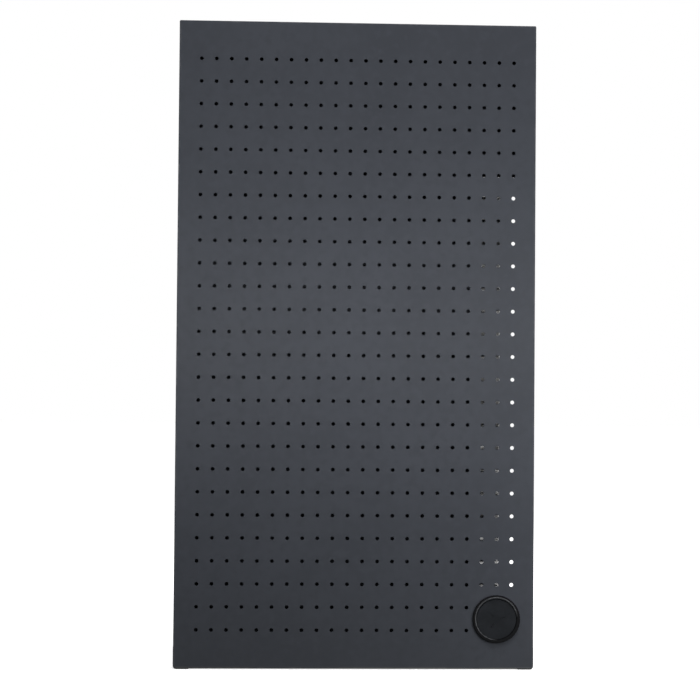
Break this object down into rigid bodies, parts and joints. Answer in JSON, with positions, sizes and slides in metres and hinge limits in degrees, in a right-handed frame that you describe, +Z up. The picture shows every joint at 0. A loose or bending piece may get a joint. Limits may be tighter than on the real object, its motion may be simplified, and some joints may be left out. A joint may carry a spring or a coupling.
{
  "type": "perforated gondola panel",
  "caption": "Tall dark grey perforated steel panel unit that hooks onto slotted shelving uprights, with a round black bayonet-capped cable outlet, a rear cable duct and sliding safety locks.",
  "frame": {"origin": "under the middle of the panel, at the underside of the corner glides", "axes": "+X to the right for someone facing the perforated front, -Y towards them, +Z up"},
  "size_m": [0.6008, 0.045, 1.0812],
  "materials": {
    "graphite_powder_coat": "satin graphite-grey powder coat with a fine orange peel",
    "zinc_plate": "bright zinc plate, slightly cloudy",
    "black_screw": "black passivated steel",
    "passivated_lock": "yellow passivated zinc",
    "black_abs": "moulded black plastic, satin face and polished rim",
    "black_nylon": "matt moulded nylon",
    "black_polyethylene": "matt, slightly waxy moulding",
    "black_pvc": "soft extruded edging",
    "black_epdm": "matt rubber",
    "grey_foam": "closed-cell foam tape",
    "mill_aluminium": "mill-finish extrusion with fine die lines",
    "grey_bristle": "dense nylon bristles",
    "brass": "plain turned brass"
  },
  "bodies": {
    "panel": {"bottom_channel": "graphite_powder_coat", "brush_carrier": "mill_aluminium", "cable_clips": "black_nylon", "corner_glide_left": "black_polyethylene", "corner_glide_right": "black_polyethylene", "cover_screws": "black_screw", "duct_wall": "graphite_powder_coat", "earth_nut": "brass", "earth_stud": "zinc_plate", "foam_strips": "grey_foam", "front_sheet": "graphite_powder_coat", "glide_screws": "zinc_plate", "grommet_flange": "black_abs", "grommet_gasket": "black_epdm", "grommet_nut": "black_nylon", "hook_plate_lower_left": "zinc_plate", "hook_plate_lower_right": "zinc_plate", "hook_plate_upper_left": "zinc_plate", "hook_plate_upper_right": "zinc_plate", "hook_rivets": "zinc_plate", "lock_studs": "zinc_plate", "rear_buffers": "black_epdm", "rear_cover": "graphite_powder_coat", "side_channel_left": "graphite_powder_coat", "side_channel_right": "graphite_powder_coat", "slot_brush": "grey_bristle", "slot_trim": "black_pvc", "stiffener_lower": "graphite_powder_coat", "stiffener_middle": "graphite_powder_coat", "stiffener_upper": "graphite_powder_coat", "top_channel": "graphite_powder_coat"},
    "lock_left": {"lock_slide_left": "passivated_lock"},
    "lock_right": {"lock_slide_right": "passivated_lock"},
    "cap": {"grommet_cap": "black_abs"}
  },
  "joints": [
    {"name": "lock_left_lift", "type": "slide", "parent": "panel", "child": "lock_left", "axis": [0, 0, 1], "range_m": [0, 0.01]},
    {"name": "lock_right_lift", "type": "slide", "parent": "panel", "child": "lock_right", "axis": [0, 0, 1], "range_m": [0, 0.01]},
    {"name": "cap_turn", "type": "hinge", "parent": "panel", "child": "cap", "pos_m": [0.2375, -0.0179, 0.084], "axis": [0, -1, 0], "range_deg": [0, 45]}
  ]
}
